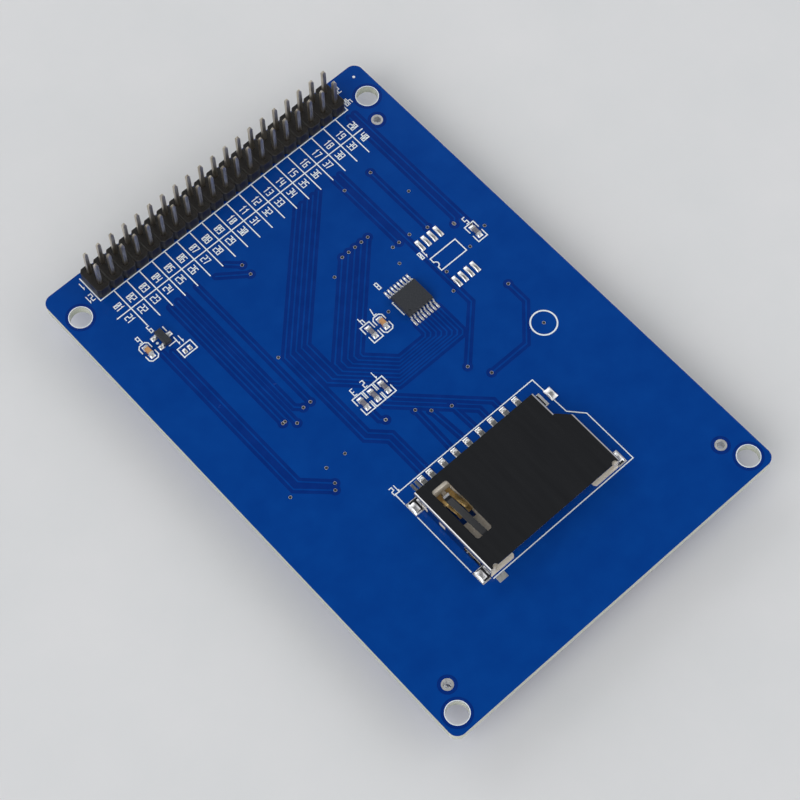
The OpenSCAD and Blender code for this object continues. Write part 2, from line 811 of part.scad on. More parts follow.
module regulator_package() {
    color("darkslategray") at_regulator()
        package(regulator_l, regulator_w, regulator_h, regulator_stand, regulator_h / 2, package_draft);
}

module regulator_lead() {
    gull_wing(regulator_lead_w, regulator_w, regulator_span, regulator_h / 2, regulator_foot);
}

module regulator_leads() {
    color("gainsboro") at_regulator() {
        for (x = [-1, 1]) translate([x * regulator_pitch / 2, 0, 0]) regulator_lead();
        mirror([0, 1, 0]) regulator_lead();
    }
}

function regulator_feet() = [for (p = [[-1, 1], [-1, -1], [1, 0]])
    [regulator_x + p.x * (regulator_span / 2 - land_shift), regulator_y + p.y * regulator_pitch / 2, 0]];

// ---------- chip resistors and capacitors ----------

module ceramic(p, h) {
    translate([p.x, p.y, top_z + land_t + h / 2])
        cube([chip_part_w - 2 * end_t, chip_part_l - 2 * end_t, h - 2 * end_t], center = true);
}

// Two metal ends wrapped round the ceramic
module metal_ends(p, h) {
    for (side = [-1, 1]) difference() {
        translate([p.x, p.y + side * (chip_part_l - end_l) / 2, top_z + land_t + h / 2])
            cube([chip_part_w, end_l, h], center = true);
        ceramic(p, h);
    }
}

// ---------- display ----------

// Tape over the whole back of the display, cut away round the flex
module mounting_tape() {
    color("ivory") difference() {
        sheet(frame_w - 2 * tape_inset, frame_l - 2 * tape_inset, tape_t, tape_z, tape_r);
        translate([0, end_y, tape_z])
            cube([flex_w + 2 * flex_clear, 2 * (flex_run + tape_inset), 4 * tape_t], center = true);
    }
}

// White frame: a pocket for the display glass, and behind its ledge one for the light guide
module display_frame() {
    z = cell_z;
    color("whitesmoke") difference() {
        sheet(frame_w, frame_l, reflector_z - z, z, frame_r);
        sheet(cell_w + 2 * room, cell_l + 2 * room, rear_polariser_z - z + skin, z - skin, pocket_r);
        sheet(guide_w + 2 * room, guide_l + 2 * room, reflector_z, rear_polariser_z - skin, pocket_r);
        // gate for the display's flex
        translate([0, end_y, z])
            cube([flex_w + 2 * flex_clear, 4 * frame_wall, 2 * (array_z - z)], center = true);
    }
}

module reflector_sheet() {
    color("silver") sheet(frame_w, frame_l, reflector_t, reflector_z, frame_r);
}

module light_guide() {
    color("azure") translate([0, lamp_w / 2, 0]) sheet(guide_w, guide_l - lamp_w, guide_t, guide_z);
}

module optic_films() {
    color("white") translate([0, lamp_strip_w / 2, 0])
        sheet(guide_w, guide_l - lamp_strip_w, optic_t, optic_z);
}

module backlight_lamps() {
    y = display_y - guide_l / 2;
    color("lightyellow") for (i = [0:lamps - 1])
        translate([(i - (lamps - 1) / 2) * guide_w / lamps - lamp_l / 2, y, guide_z])
            cube([lamp_l, lamp_w - fit, guide_t]);
}

module lamp_strip() {
    color("orange") translate([-guide_w / 2, display_y - guide_l / 2, guide_z - lamp_strip_t])
        cube([guide_w, lamp_strip_w - fit, lamp_strip_t]);
}

module rear_polariser() {
    color("dimgray") sheet(guide_w, guide_l, polariser_t, rear_polariser_z);
}

module array_glass() {
    color("lightcyan") sheet(cell_w, cell_l, glass_t, array_z);
}

module filter_glass() {
    color("lightcyan") translate([0, driver_ledge / 2, 0])
        sheet(cell_w, cell_l - driver_ledge, glass_t, filter_z);
}

module front_polariser() {
    d = 2 * polariser_inset;
    color("dimgray") translate([0, driver_ledge / 2, 0])
        sheet(cell_w - d, cell_l - driver_ledge - d, polariser_t, cell_z);
}

module driver_chip() {
    y = cell_end_y + driver_ledge - driver_gap - driver_w;
    color("gray") translate([-driver_l / 2, y, array_z - driver_h]) cube([driver_l, driver_w, driver_h]);
}

// Flat cable that leaves the face at height z0, turns round the frame's end and lies on its lands
module folded_flex(w, t, y0, z0, turn_y, y1) {
    z1 = board_z - land_t;
    r = (z1 - z0) / 2;
    along_x(w) {
        translate([turn_y, z0]) square([y0 - turn_y, t]);
        translate([turn_y, z1 - t]) square([y1 - turn_y, t]);
        difference() {
            translate([turn_y, z0 + r]) circle(r = r, $fn = 48);
            translate([turn_y, z0 + r]) circle(r = r - t, $fn = 48);
            translate([turn_y, z0 - over]) square([3 * r, 2 * r + 2 * over]);
        }
    }
}

module display_flex() {
    color("chocolate")
        folded_flex(flex_w, flex_t, cell_end_y + flex_bond, array_z - flex_t,
                    end_y - turn_gap, end_y + flex_run);
}

module bond_ring() {
    d = 2 * bond_w;
    color("black") difference() {
        sheet(touch_w, touch_l, bond_t, bond_z, frame_r);
        sheet(touch_w - d, touch_l - d, 4 * bond_t, bond_z - bond_t, pocket_r);
    }
}

module touch_glass() {
    color("lightcyan") sheet(touch_w, touch_l, touch_glass_t, touch_glass_z, frame_r);
}

module touch_gasket() {
    d = 2 * gasket_w;
    color("lightgray") difference() {
        sheet(touch_w, touch_l, gasket_t, film_t, frame_r);
        sheet(touch_w - d, touch_l - d, 4 * gasket_t, film_t - gasket_t, pocket_r);
        translate([tail_x, touch_end_y, film_t])
            cube([tail_w + 2 * tail_clear, d + over, 4 * gasket_t], center = true);
    }
}

module touch_film() {
    color("whitesmoke") sheet(touch_w, touch_l, film_t, 0, frame_r);
}

module touch_tail() {
    inner_y = touch_end_y + gasket_w;
    color("chocolate") translate([tail_x, 0, 0])
        folded_flex(tail_w, gasket_t, inner_y, film_t, tail_turn_y, end_y + tail_run);
}

// ---------- nodes ----------

circuit_board();
plated_eyelets();
solder_lands();
header_insulator();
header_pins(back_row_y);  // header_pins_back
header_pins(front_row_y);  // header_pins_front
header_solder();
card_socket_shell();
card_socket_base();
for (i = [1:contacts])
    card_contact(i - 1);
for (i = [1:detects])
    detect_contact(i - 1);
touch_controller_package();
touch_controller_leads();
regulator_package();
regulator_leads();
for (i = [1:len(resistor_at)]) {
    color("slategray") ceramic(resistor_at[i - 1], resistor_h);
    color("gainsboro") metal_ends(resistor_at[i - 1], resistor_h);
}
for (i = [1:len(capacitor_at)]) {
    color("peru") ceramic(capacitor_at[i - 1], capacitor_h);
    color("gainsboro") metal_ends(capacitor_at[i - 1], capacitor_h);
}
mounting_tape();
display_frame();
reflector_sheet();
light_guide();
optic_films();
backlight_lamps();
lamp_strip();
rear_polariser();
array_glass();
filter_glass();
front_polariser();
driver_chip();
display_flex();
bond_ring();
touch_glass();
touch_gasket();
touch_film();
touch_tail();
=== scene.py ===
# %% [markdown]
# # A display module, seen from its back
# A blue circuit board lies on its touch screen, with a pin header, a card socket and a few
# small chips on top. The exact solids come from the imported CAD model. Blender adds what is
# too thin for solids, such as copper tracks, white print and solder, and every finish.

# %% Load the solids
import bpy
import bmesh
import json
import math
from mathutils import Matrix, Vector


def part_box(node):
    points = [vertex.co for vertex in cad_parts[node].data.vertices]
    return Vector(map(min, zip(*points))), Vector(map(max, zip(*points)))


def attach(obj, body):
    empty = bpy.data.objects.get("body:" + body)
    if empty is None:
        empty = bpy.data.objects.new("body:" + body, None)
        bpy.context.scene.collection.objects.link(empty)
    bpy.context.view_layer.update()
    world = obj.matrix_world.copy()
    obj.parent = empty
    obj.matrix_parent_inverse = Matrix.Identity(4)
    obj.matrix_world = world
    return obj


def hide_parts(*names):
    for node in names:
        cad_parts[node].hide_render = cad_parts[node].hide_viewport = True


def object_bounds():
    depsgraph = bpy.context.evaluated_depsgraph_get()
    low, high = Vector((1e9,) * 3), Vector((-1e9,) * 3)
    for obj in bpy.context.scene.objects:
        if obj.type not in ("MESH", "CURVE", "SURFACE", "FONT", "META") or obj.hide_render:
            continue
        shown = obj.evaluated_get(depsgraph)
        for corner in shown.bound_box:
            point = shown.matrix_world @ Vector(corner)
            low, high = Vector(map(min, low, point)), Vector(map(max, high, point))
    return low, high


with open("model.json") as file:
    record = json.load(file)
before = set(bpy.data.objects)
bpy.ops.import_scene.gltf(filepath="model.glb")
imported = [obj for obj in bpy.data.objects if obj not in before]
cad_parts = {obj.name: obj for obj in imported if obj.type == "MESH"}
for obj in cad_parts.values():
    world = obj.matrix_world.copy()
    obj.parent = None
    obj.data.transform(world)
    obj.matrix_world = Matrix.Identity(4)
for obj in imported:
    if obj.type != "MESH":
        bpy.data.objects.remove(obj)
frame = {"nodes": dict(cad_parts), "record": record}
cad_low, cad_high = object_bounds()
MM = 0.001
print("solids loaded:", len(frame["nodes"]), "box in mm:", [round(v / MM, 1) for v in cad_high - cad_low])

# %% [markdown]
# ## Where things are
# The board's edges and heights and the middles of its parts are read from the solids, and the routes, vias
# and outlines are given numbers. All drawing on the board is written in millimetres from the middle of the
# board.

# %% Heights and edges of the board
board_low, board_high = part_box("circuit_board")
TOP = board_high.z
BOARD_W = (board_high.x - board_low.x) / MM
BOARD_L = (board_high.y - board_low.y) / MM
MASK_GAP, MASK_TRACK, PRINT = 0.004 * MM, 0.018 * MM, 0.034 * MM
HAIR = 0.0001 * MM
LEVELS = 120
print("board", round(BOARD_W, 2), "x", round(BOARD_L, 2), "mm, top at", round(TOP / MM, 2))


def middle(node):
    """Middle of a solid, in millimetres."""
    low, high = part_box(node)
    return (low + high) / 2 / MM


# %% [markdown]
# ## Camera
# The module is seen from above its far left corner through a long lens, so its long edges
# stay almost parallel. The camera is turned towards a point on the board, then rolled a little.

# %% Aim the camera
camera_data = bpy.data.cameras.new("camera")
camera_data.lens = 106.19
camera_data.clip_start = 0.01
camera = bpy.data.objects.new("camera", camera_data)
bpy.context.scene.collection.objects.link(camera)
camera.location = Vector((-101.15, -115.95, 329.97)) * MM
look_at = Vector((-2.67, -2.40, TOP / MM)) * MM
aim = (look_at - camera.location).to_track_quat("-Z", "Y").to_matrix().to_4x4()
camera.matrix_world = Matrix.Translation(camera.location) @ aim @ Matrix.Rotation(math.radians(-1.32), 4, "Z")
bpy.context.scene.camera = camera
print("camera is", round((look_at - camera.location).length / MM), "mm away")

# %% [markdown]
# ## Helpers for finishes
# Each finish is a Principled shader with its plain numbers on the shader itself. Noise then
# adds what no real surface lacks: uneven colour, uneven gloss and a fine bump.


# %% Start a finish
def finish(name, colour, rough=0.5, metal=0.0, coat=0.0, ior=1.5, through=0.0):
    mat = bpy.data.materials.new(name)
    mat.use_nodes = True
    shader = mat.node_tree.nodes["Principled BSDF"]
    shader.inputs["Base Color"].default_value = (*colour, 1)
    shader.inputs["Roughness"].default_value = rough
    shader.inputs["Metallic"].default_value = metal
    shader.inputs["Coat Weight"].default_value = coat
    shader.inputs["Coat Roughness"].default_value = 0.12
    shader.inputs["IOR"].default_value = ior
    shader.inputs["Transmission Weight"].default_value = through
    return mat


def add(mat, kind, **values):
    node = mat.node_tree.nodes.new(kind)
    for key, value in values.items():
        if key in node.inputs:
            node.inputs[key].default_value = value
        else:
            setattr(node, key, value)
    return node


def join(mat, out, into):
    mat.node_tree.links.new(out, into)


print("finish helpers ready")

# %% [markdown]
# ## Uneven colour, gloss and bump
# Three separate textures could drive colour, gloss and bump. One noise drives all three here,
# so that a darker speck is also a smoother and lower one, and the finish stays of one piece.


# %% One noise for colour, gloss and bump
def weather(mat, grain, dark, light, rough=(0.4, 0.6), bump=0.1, depth=0.00002, stretch=(1, 1, 1)):
    """Noise of `grain` grains to the metre runs from a dark to a light shade of the finish."""
    shader = mat.node_tree.nodes["Principled BSDF"]
    place = add(mat, "ShaderNodeTexCoord")
    scale = add(mat, "ShaderNodeMapping")
    scale.inputs["Scale"].default_value = stretch
    noise = add(mat, "ShaderNodeTexNoise", Scale=grain, Detail=6.0, Roughness=0.6)
    shades = add(mat, "ShaderNodeValToRGB")
    shades.color_ramp.elements[0].position = 0.3
    shades.color_ramp.elements[0].color = (*dark, 1)
    shades.color_ramp.elements[1].position = 0.7
    shades.color_ramp.elements[1].color = (*light, 1)
    gloss = add(mat, "ShaderNodeMapRange")
    gloss.inputs["To Min"].default_value = rough[0]
    gloss.inputs["To Max"].default_value = rough[1]
    raise_ = add(mat, "ShaderNodeBump", Strength=bump, Distance=depth)
    join(mat, place.outputs["Object"], scale.inputs["Vector"])
    join(mat, scale.outputs["Vector"], noise.inputs["Vector"])
    join(mat, noise.outputs["Fac"], shades.inputs["Fac"])
    join(mat, noise.outputs["Fac"], gloss.inputs["Value"])
    join(mat, noise.outputs["Fac"], raise_.inputs["Height"])
    join(mat, shades.outputs["Color"], shader.inputs["Base Color"])
    join(mat, gloss.outputs["Result"], shader.inputs["Roughness"])
    join(mat, raise_.outputs["Normal"], shader.inputs["Normal"])
    return mat, shades, shader


print("weather helper ready")

# %% [markdown]
# ## Solder mask on glass fibre
# The board's faces are blue lacquer over copper, and its cut edges are bare white glass
# fibre. One finish does both: the surface normal tells a face from an edge.

# %% Blue faces and fibre edges
mask, mask_shades, mask_shader = weather(
    finish("blue_solder_mask", (0.0, 0.045, 0.28), ior=1.45), 260,
    (0.0, 0.044, 0.270), (0.0, 0.054, 0.305), (0.18, 0.26), 0.06)
facing = add(mask, "ShaderNodeNewGeometry")
apart = add(mask, "ShaderNodeSeparateXYZ")
upright = add(mask, "ShaderNodeMath", operation="ABSOLUTE")
is_face = add(mask, "ShaderNodeMath", operation="GREATER_THAN")
is_face.inputs[1].default_value = 0.5
fibre = add(mask, "ShaderNodeTexWave", Scale=900.0, Distortion=6.0, Detail=3.0)
fibre_shades = add(mask, "ShaderNodeValToRGB")
fibre_shades.color_ramp.elements[0].color = (0.42, 0.45, 0.36, 1)
fibre_shades.color_ramp.elements[1].color = (0.70, 0.71, 0.62, 1)
pick = add(mask, "ShaderNodeMix", data_type="RGBA")
join(mask, facing.outputs["Normal"], apart.inputs["Vector"])
join(mask, apart.outputs["Z"], upright.inputs[0])
join(mask, upright.outputs[0], is_face.inputs[0])
join(mask, is_face.outputs[0], pick.inputs["Factor"])
join(mask, fibre.outputs["Fac"], fibre_shades.inputs["Fac"])
join(mask, fibre_shades.outputs["Color"], pick.inputs["A"])
join(mask, mask_shades.outputs["Color"], pick.inputs["B"])
join(mask, pick.outputs["Result"], mask_shader.inputs["Base Color"])

bare_mask = weather(finish("mask_without_copper", (0.0, 0.026, 0.205), ior=1.45), 420,
                    (0.0, 0.023, 0.190), (0.0, 0.030, 0.225), (0.20, 0.30), 0.08)[0]
track_mask = weather(finish("mask_over_tracks", (0.0, 0.045, 0.28), ior=1.45), 420,
                     (0.0, 0.040, 0.25), (0.0, 0.058, 0.33), (0.18, 0.26), 0.05)[0]
white_print = weather(finish("white_print", (0.84, 0.90, 0.94)), 2600,
                      (0.78, 0.85, 0.90), (0.88, 0.93, 0.96), (0.55, 0.75), 0.2)[0]
print("board finishes made")

# %% [markdown]
# ## Metals
# Stamped steel is almost a mirror with a faint rolling grain, so its noise is stretched along
# the sheet. Solder is bright and smooth. Gold is kept for the spring contacts.

# %% Metals
steel = weather(finish("polished_steel", (0.5, 0.5, 0.5), metal=1), 900,
                (0.40, 0.40, 0.41), (0.48, 0.48, 0.49), (0.07, 0.14), 0.03, stretch=(1, 0.08, 1))[0]
tin = weather(finish("tinned_copper", (0.88, 0.88, 0.87), metal=1), 1400,
              (0.80, 0.80, 0.79), (0.93, 0.93, 0.92), (0.40, 0.56), 0.12)[0]
solder = weather(finish("bright_solder", (0.94, 0.94, 0.94), metal=1), 700,
                 (0.88, 0.88, 0.88), (0.97, 0.97, 0.97), (0.30, 0.46), 0.10)[0]
pin_metal = weather(finish("plated_pins", (0.6, 0.55, 0.46), metal=1), 2600,
                    (0.32, 0.27, 0.20), (0.80, 0.75, 0.66), (0.27, 0.42), 0.15, stretch=(1, 1, 0.12))[0]
gold, gold_shades, gold_shader = weather(
    finish("gold_contacts", (0.9, 0.65, 0.3), metal=1), 1800,
    (0.72, 0.48, 0.19), (0.94, 0.70, 0.34), (0.22, 0.36), 0.1)
foil = weather(finish("reflector_foil", (0.85, 0.85, 0.86), metal=1), 500,
               (0.74, 0.74, 0.75), (0.88, 0.88, 0.88), (0.25, 0.38), 0.1)[0]
print("metals made, finishes so far:", len(bpy.data.materials))

# %% [markdown]
# ## Mouldings, ceramics, films and glass
# Mouldings are dull with a fine spark-eroded bump. Resistors are glazed and capacitors are
# not, films are smooth, and only the clear glass and acrylic sheets let light through.

# %% Mouldings, ceramics, films and glass
black_moulding = weather(finish("black_moulding", (0.014, 0.013, 0.013)), 3200,
                         (0.008, 0.007, 0.007), (0.022, 0.020, 0.019), (0.30, 0.44), 0.3)[0]
cream_moulding = weather(finish("cream_moulding", (0.8, 0.74, 0.64)), 2600,
                         (0.70, 0.63, 0.52), (0.84, 0.78, 0.68), (0.40, 0.55), 0.3)[0]
chip_resin = weather(finish("chip_resin", (0.025, 0.028, 0.035)), 5200,
                     (0.016, 0.018, 0.023), (0.038, 0.042, 0.050), (0.42, 0.58), 0.5)[0]
resistor_glaze = weather(finish("resistor_glaze", (0.2, 0.2, 0.22), coat=0.4), 3000,
                         (0.13, 0.13, 0.16), (0.27, 0.26, 0.30), (0.25, 0.40), 0.2)[0]
capacitor_clay = weather(finish("capacitor_clay", (0.55, 0.3, 0.14)), 3400,
                         (0.46, 0.22, 0.08), (0.64, 0.36, 0.17), (0.40, 0.55), 0.4)[0]
white_moulding = weather(finish("white_moulding", (0.8, 0.8, 0.79)), 1800,
                         (0.74, 0.74, 0.72), (0.84, 0.84, 0.83), (0.40, 0.52), 0.2)[0]
foam = weather(finish("foam_tape", (0.78, 0.78, 0.75)), 1500,
               (0.60, 0.60, 0.57), (0.82, 0.82, 0.79), (0.80, 0.95), 0.8, 0.00008)[0]
black_tape = weather(finish("black_tape", (0.02, 0.02, 0.02)), 2400,
                     (0.010, 0.010, 0.010), (0.030, 0.030, 0.030), (0.50, 0.65), 0.3)[0]
amber_film = weather(finish("amber_flex", (0.42, 0.2, 0.06), coat=0.6), 700,
                     (0.41, 0.18, 0.045), (0.46, 0.21, 0.060), (0.18, 0.26), 0.03)[0]
grey_film = weather(finish("grey_films", (0.5, 0.5, 0.5), coat=0.3), 300,
                    (0.46, 0.47, 0.47), (0.56, 0.57, 0.57), (0.30, 0.42), 0.05)[0]
dark_film = weather(finish("dark_polariser", (0.05, 0.05, 0.06), coat=0.8), 200,
                    (0.030, 0.032, 0.036), (0.045, 0.048, 0.052), (0.10, 0.18), 0.02)[0]
thin_glass = weather(finish("thin_glass", (0.75, 0.85, 0.82), through=0.9, ior=1.52), 120,
                     (0.70, 0.82, 0.78), (0.80, 0.88, 0.85), (0.02, 0.06), 0.01)[0]
print("finishes made:", len(bpy.data.materials))

# %% [markdown]
# ## Touch film
# The outer film is clear over the picture and printed grey round its edge. The border is
# drawn by distance from the middle, so no picture file is needed.

# %% Grey border round a dark picture area
touch_face, face_shades, face_shader = weather(
    finish("touch_face", (0.05, 0.06, 0.06), coat=0.7), 500,
    (0.020, 0.024, 0.026), (0.030, 0.035, 0.037), (0.14, 0.24), 0.05)
film_low, film_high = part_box("touch_film")
film_middle = (film_low + film_high) / 2
VIEW_W, VIEW_L = 0.0486, 0.0648
where = add(touch_face, "ShaderNodeTexCoord")
from_middle = add(touch_face, "ShaderNodeVectorMath", operation="SUBTRACT")
from_middle.inputs[1].default_value = film_middle
parts = add(touch_face, "ShaderNodeSeparateXYZ")
join(touch_face, where.outputs["Object"], from_middle.inputs[0])
join(touch_face, from_middle.outputs["Vector"], parts.inputs["Vector"])
edges = []
for axis, half in (("X", VIEW_W / 2), ("Y", VIEW_L / 2)):
    size = add(touch_face, "ShaderNodeMath", operation="ABSOLUTE")
    past = add(touch_face, "ShaderNodeMath", operation="GREATER_THAN")
    past.inputs[1].default_value = half
    join(touch_face, parts.outputs[axis], size.inputs[0])
    join(touch_face, size.outputs[0], past.inputs[0])
    edges.append(past)
either = add(touch_face, "ShaderNodeMath", operation="MAXIMUM")
border = add(touch_face, "ShaderNodeMix", data_type="RGBA")
border.inputs["B"].default_value = (0.30, 0.31, 0.31, 1)
join(touch_face, edges[0].outputs[0], either.inputs[0])
join(touch_face, edges[1].outputs[0], either.inputs[1])
join(touch_face, either.outputs[0], border.inputs["Factor"])
join(touch_face, face_shades.outputs["Color"], border.inputs["A"])
join(touch_face, border.outputs["Result"], face_shader.inputs["Base Color"])
print("picture area", VIEW_W / MM, "x", VIEW_L / MM, "mm")

# %% [markdown]
# ## Gold springs with tin tails
# A card contact is gold where it touches the card and tin where it is soldered. It is one
# strip of metal, so its finish changes by place, where it leaves the back of the socket.

# %% Tin on the soldered ends
shell_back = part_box("card_socket_shell")[1].y
strip_place = add(gold, "ShaderNodeTexCoord")
strip_axes = add(gold, "ShaderNodeSeparateXYZ")
outside = add(gold, "ShaderNodeMath", operation="GREATER_THAN")
outside.inputs[1].default_value = shell_back
plating = add(gold, "ShaderNodeMix", data_type="RGBA")
plating.inputs["B"].default_value = (0.90, 0.90, 0.89, 1)
join(gold, strip_place.outputs["Object"], strip_axes.inputs["Vector"])
join(gold, strip_axes.outputs["Y"], outside.inputs[0])
join(gold, outside.outputs[0], plating.inputs["Factor"])
join(gold, gold_shades.outputs["Color"], plating.inputs["A"])
join(gold, plating.outputs["Result"], gold_shader.inputs["Base Color"])

print("contact strips turn from gold to tin at y", round(shell_back / MM, 2), "mm")

# %% [markdown]
# ## A finish for every solid
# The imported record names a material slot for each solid. A table from slot to finish dresses
# them all in one loop, so a new solid needs no new code.

# %% Give every solid its finish
BY_SLOT = {
    "solder_mask_board": mask, "tinned_copper": tin, "header_moulding": black_moulding,
    "pin_metal": pin_metal, "solder": solder, "stamped_steel": steel, "socket_moulding": cream_moulding,
    "contact_metal": gold, "chip_resin": chip_resin, "lead_metal": tin,
    "resistor_ceramic": resistor_glaze, "capacitor_ceramic": capacitor_clay, "end_metal": tin,
    "foam_tape": foam, "frame_moulding": white_moulding, "reflector": foil, "acrylic": thin_glass,
    "optic_film": grey_film, "lamp_body": white_moulding, "flex_film": amber_film,
    "display_glass": thin_glass, "polariser": dark_film, "silicon": chip_resin,
    "black_tape": black_tape, "gasket_tape": grey_film, "touch_face": touch_face,
}
for part in frame["record"]["subparts"]:
    solid = frame["nodes"][part["node"]]
    for material_slot in solid.material_slots:
        material_slot.material = BY_SLOT[part["material_slot"]]

# %% [markdown]
# ## Softer edges on the mouldings
# A moulded edge is never quite sharp: it has a tiny radius that catches a thin line of light.
# A copy of the solid's mesh gets a bevel and takes the solid's place, and the solid itself is hidden.
# A solid's mesh may not be changed, so a copy of it gets a bevel and takes the solid's place.


# %% Bevelled copies
def soften(node, width, limit=35):
    source = frame["nodes"][node]
    mesh = bmesh.new()
    mesh.from_mesh(source.data)
    bmesh.ops.remove_doubles(mesh, verts=mesh.verts, dist=0.0005 * MM)
    bmesh.ops.dissolve_limit(mesh, angle_limit=math.radians(0.6), verts=mesh.verts, edges=mesh.edges)
    data = bpy.data.meshes.new(node + "_softened")
    mesh.to_mesh(data)
    mesh.free()
    if "custom_normal" in data.attributes:
        data.attributes.remove(data.attributes["custom_normal"])
    data.materials.clear()
    data.materials.append(source.material_slots[0].material)
    for face in data.polygons:
        face.use_smooth = True
    piece = bpy.data.objects.new(node + "_softened", data)
    bpy.context.scene.collection.objects.link(piece)
    edges = piece.modifiers.new("edge_radius", "BEVEL")
    edges.width, edges.segments, edges.limit_method = width * MM, 2, "ANGLE"
    edges.angle_limit, edges.harden_normals = math.radians(limit), True
    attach(piece, "root")
    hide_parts(node)
    return piece


SOFTENED = {"header_insulator": 0.10, "touch_controller_package": 0.05, "regulator_package": 0.05,
            "header_pins_front": 0.07, "header_pins_back": 0.07}
SOFTENED.update({"resistor_%d" % i: 0.03 for i in range(1, 6)})
SOFTENED.update({"resistor_%d_ends" % i: 0.05 for i in range(1, 6)})
SOFTENED.update({"capacitor_%d" % i: 0.04 for i in (1, 2)})
SOFTENED.update({"capacitor_%d_ends" % i: 0.06 for i in (1, 2)})
for node, width in SOFTENED.items():
    soften(node, width)
print("softened:", len(SOFTENED))

# %% [markdown]
# ## Drawing flat shapes on the board
# Tracks, print and the gaps round them are all ribbons: a path widened to both sides. Each
# ribbon has mitred corners and round ends, and lies a few hundredths of a millimetre proud.


# %% Ribbons, discs and rings
class Drawing:
    """Collects flat shapes and makes one mesh piece of them. Each next shape lies a hair
    higher, because two faces at the same height would turn black where they cross. Strokes
    that meet themselves, as in a digit, need that for every face."""

    def __init__(self, height, every_face=False):
        self.mesh, self.z, self.every_face, self.level = bmesh.new(), TOP + height, every_face, 0

    def face(self, points):
        self.level += self.every_face
        z = self.z + HAIR * (self.level % LEVELS)
        self.mesh.faces.new([self.mesh.verts.new((x * MM, y * MM, z)) for x, y in points])

    def ribbon(self, path, width):
        self.level += 1
        path = [Vector(p) for p in path]
        left, right = [], []
        for i, p in enumerate(path):
            before = (p - path[i - 1]).normalized() if i else (path[1] - p).normalized()
            after = (path[i + 1] - p).normalized() if i < len(path) - 1 else before
            normal = Vector((-(before + after).y, (before + after).x)).normalized()
            reach = width / 2 / max(0.3, normal.dot(Vector((-before.y, before.x))))
            left.append(p + normal * reach)
            right.append(p - normal * reach)
        for i in range(len(path) - 1):
            self.face([right[i], right[i + 1], left[i + 1], left[i]])
        self.round_end(path[0], width / 2, path[0] - path[1])
        self.round_end(path[-1], width / 2, path[-1] - path[-2])

    def round_end(self, centre, radius, along, steps=10):
        start = math.atan2(along.y, along.x) - math.pi / 2
        turns = [start + math.pi * k / steps for k in range(steps + 1)]
        self.face([(centre.x + radius * math.cos(t), centre.y + radius * math.sin(t)) for t in turns])

    def disc(self, x, y, radius, steps=24):
        self.level += 1
        self.face([(x + radius * math.cos(2 * math.pi * k / steps),
                    y + radius * math.sin(2 * math.pi * k / steps)) for k in range(steps)])

    def ring(self, x, y, radius, width, steps=40):
        self.level += 1
        for k in range(steps):
            a, b = 2 * math.pi * k / steps, 2 * math.pi * (k + 1) / steps
            self.face([(x + r * math.cos(t), y + r * math.sin(t))
                       for r, t in ((radius - width / 2, a), (radius + width / 2, a),
                                    (radius + width / 2, b), (radius - width / 2, b))])

    def piece(self, name, material, slot=None):
        data = bpy.data.meshes.new(name)
        self.mesh.to_mesh(data)
        self.mesh.free()
        data.materials.append(material)
        obj = bpy.data.objects.new(name, data)
        bpy.context.scene.collection.objects.link(obj)
        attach(obj, "root")
        print(name, len(data.polygons), "faces on", self.level, "levels")
        return obj


gaps = Drawing(MASK_GAP)
tracks = Drawing(MASK_TRACK)
prints = Drawing(PRINT, every_face=True)
print("three drawings started")

# %% [markdown]
# ## Copper tracks under the mask
# Copper fills most of the board and shows as the lighter blue. A track is cut free of it by a
# gap on both sides, which shows darker. So each route is drawn twice: a wide dark ribbon, and
# a narrow light one over it. The bus from the header is a rule, not a list: each next track
# turns a little earlier, which nests them round the touch controller.

# %% Routes
chip = middle("touch_controller_package")
socket_low, socket_high = [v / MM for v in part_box("card_socket_shell")]
tails_y = socket_high.y + 1.6
LABELS_Y = 33.2
LEAD = 0.65
LEAD_END_Y = chip.y - 3.6
GAP_W, TRACK_W = 1.3, 0.25
BUS_VIAS = [(7.1 + 1.33 * k, 21.8) for k in range(5)]


def bus_track(k):
    x_down = -10.9 + 1.0 * k
    top = (7.6 + 1.15 * k, LABELS_Y) if k < 5 else BUS_VIAS[k - 5]
    path = [top, (x_down, top[1] - (top[0] - x_down))]
    if k < 2:
        return path + [(x_down, -3.6 + 0.4 * k), (x_down + 2.6, -6.2 + 0.4 * k), (x_down + 2.6, tails_y)]
    turn = 7.8 - 0.55 * (k - 2)
    floor = -0.6 + 0.5 * (k - 2)
    lead_x = chip.x + (5.5 - k) * LEAD
    return path + [(x_down, floor + turn), (x_down + turn, floor), (lead_x - 0.5, floor),
                   (lead_x, floor + 0.5), (lead_x, LEAD_END_Y)]


routes = [bus_track(k) for k in range(10)]
routes += [
    [(-24.2, 28), (-24.2, -2.6), (-19.7, -6.9)], [(-22.9, 27), (-22.9, -2.1), (-19.0, -6.0)],
    [(-18.3, LABELS_Y), (-18.3, 6.6)], [(-16.7, LABELS_Y), (-16.7, 5.2)],
    [(-15.3, LABELS_Y), (-15.3, 7.5), (-14.3, 6.5)], [(-12.9, LABELS_Y), (-12.9, 6.5)],
    [(16.7, LABELS_Y), (16.7, 2.6), (8.7, -5.2)], [(15.4, LABELS_Y), (15.4, 17.8)],
    [(20.5, 30.2), (20.5, 16.8)], [(25.9, 40), (25.9, 12.6)], [(24.8, 40), (24.8, 15.2), (24, 14.4)],
    [(23, 1), (23, -3), (18.0, -8.4), (10.7, -8.4)], [(-9.6, 32.5), (-5.35, 29.2)],
    [(-7.2, LABELS_Y), (-5.3, 31.3)], [(-2.1, -5.2), (-2.35, tails_y)], [(-0.35, -6.9), (0.15, tails_y)],
    [(2.45, -8.4), (2.65, tails_y)],
]
for i, shift in ((1, 10.6), (2, 10.2)):
    x, y, _ = middle("resistor_%d" % i)
    routes.append([(x, y - 1.6), (x, y - 2.2), (x + shift, y - 2.2 - shift), (x + shift, tails_y)])
x, y, _ = middle("resistor_3")
routes.append([(x, y - 1.6), (x, y - 3.5), (x + 0.7, y - 4.2)])
